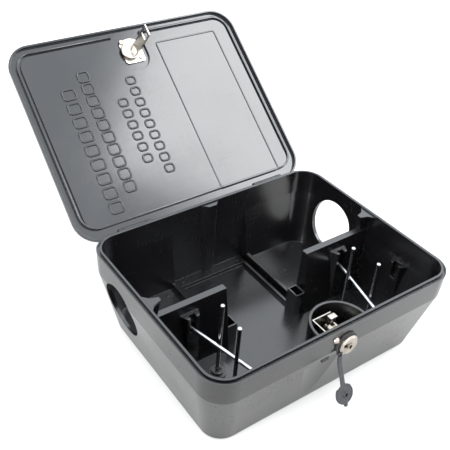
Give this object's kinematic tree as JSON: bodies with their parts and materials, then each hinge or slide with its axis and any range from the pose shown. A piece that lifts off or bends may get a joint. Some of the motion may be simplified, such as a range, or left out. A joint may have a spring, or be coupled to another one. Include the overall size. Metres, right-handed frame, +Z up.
{
  "type": "rodent bait station",
  "caption": "Lidded box-shaped rodent bait station with round side entrances, inner partitions, steel bait rods and a front lock with a rubber dust cap.",
  "frame": {"origin": "middle of the flat face that the base stands on", "axes": "+Z up; +Y from the lock at the front to the lid hinge at the rear; +X to the right seen from the front"},
  "size_m": [0.2952, 0.4397, 0.2434],
  "materials": {
    "base_plastic": "black moulded polypropylene, satin gloss",
    "bush_plastic": "black moulded plastic",
    "cap_rubber": "dark grey moulded rubber",
    "lid_plastic": "black moulded polypropylene, glossier inside face",
    "nickel": "warm nickel plate",
    "rod_steel": "bright drawn steel wire",
    "zinc_steel": "zinc plated pressed steel"
  },
  "bodies": {
    "base": {"base_tub": "base_plastic", "front_rod_brackets": "base_plastic", "left_partition": "base_plastic", "lock_well": "base_plastic", "rear_boss": "base_plastic", "right_partition": "base_plastic", "rod_bushes": "bush_plastic", "side_rod_brackets": "base_plastic", "hinge_pins": "rod_steel", "lock_cylinder": "nickel", "lock_nut": "zinc_steel", "lock_bracket": "zinc_steel", "bracket_rivet": "nickel", "lock_gasket": "cap_rubber"},
    "lid": {"lid_panel": "lid_plastic", "lid_striker": "zinc_steel", "striker_cup": "nickel", "striker_rivets": "nickel"},
    "lock_core": {"lock_plug": "nickel", "lock_cam": "zinc_steel", "cam_screw": "zinc_steel"},
    "cap": {"dust_cap": "cap_rubber"},
    "left_rear_rod_body": {"left_rear_rod": "rod_steel"},
    "left_front_rod_body": {"left_front_rod": "rod_steel"},
    "left_cross_rod_body": {"left_cross_rod": "rod_steel"},
    "right_rear_rod_body": {"right_rear_rod": "rod_steel"},
    "right_front_rod_body": {"right_front_rod": "rod_steel"},
    "right_cross_rod_body": {"right_cross_rod": "rod_steel"}
  },
  "joints": [
    {"name": "lid_hinge", "type": "hinge", "parent": "base", "child": "lid", "pos_m": [0, 0.117, 0.0912], "axis": [-1, 0, 0], "range_deg": [-141.2, 0]},
    {"name": "lock_turn", "type": "hinge", "parent": "base", "child": "lock_core", "pos_m": [0, -0.1125, 0.077], "axis": [0, -1, 0], "range_deg": [-90, 0]},
    {"name": "cap_swing", "type": "hinge", "parent": "base", "child": "cap", "pos_m": [-0.008, -0.1151, 0.0664], "axis": [-1, 0, 0], "range_deg": [0, 75]},
    {"name": "left_rear_rod_lift", "type": "slide", "parent": "base", "child": "left_rear_rod_body", "axis": [0, 0, 1], "range_m": [0, 0.1]},
    {"name": "left_front_rod_lift", "type": "slide", "parent": "base", "child": "left_front_rod_body", "axis": [0, 0, 1], "range_m": [0, 0.1]},
    {"name": "left_cross_rod_lift", "type": "slide", "parent": "base", "child": "left_cross_rod_body", "axis": [0, 0, 1], "range_m": [0, 0.05]},
    {"name": "right_rear_rod_lift", "type": "slide", "parent": "base", "child": "right_rear_rod_body", "axis": [0, 0, 1], "range_m": [0, 0.1]},
    {"name": "right_front_rod_lift", "type": "slide", "parent": "base", "child": "right_front_rod_body", "axis": [0, 0, 1], "range_m": [0, 0.1]},
    {"name": "right_cross_rod_lift", "type": "slide", "parent": "base", "child": "right_cross_rod_body", "axis": [0, 0, 1], "range_m": [0, 0.05]}
  ]
}
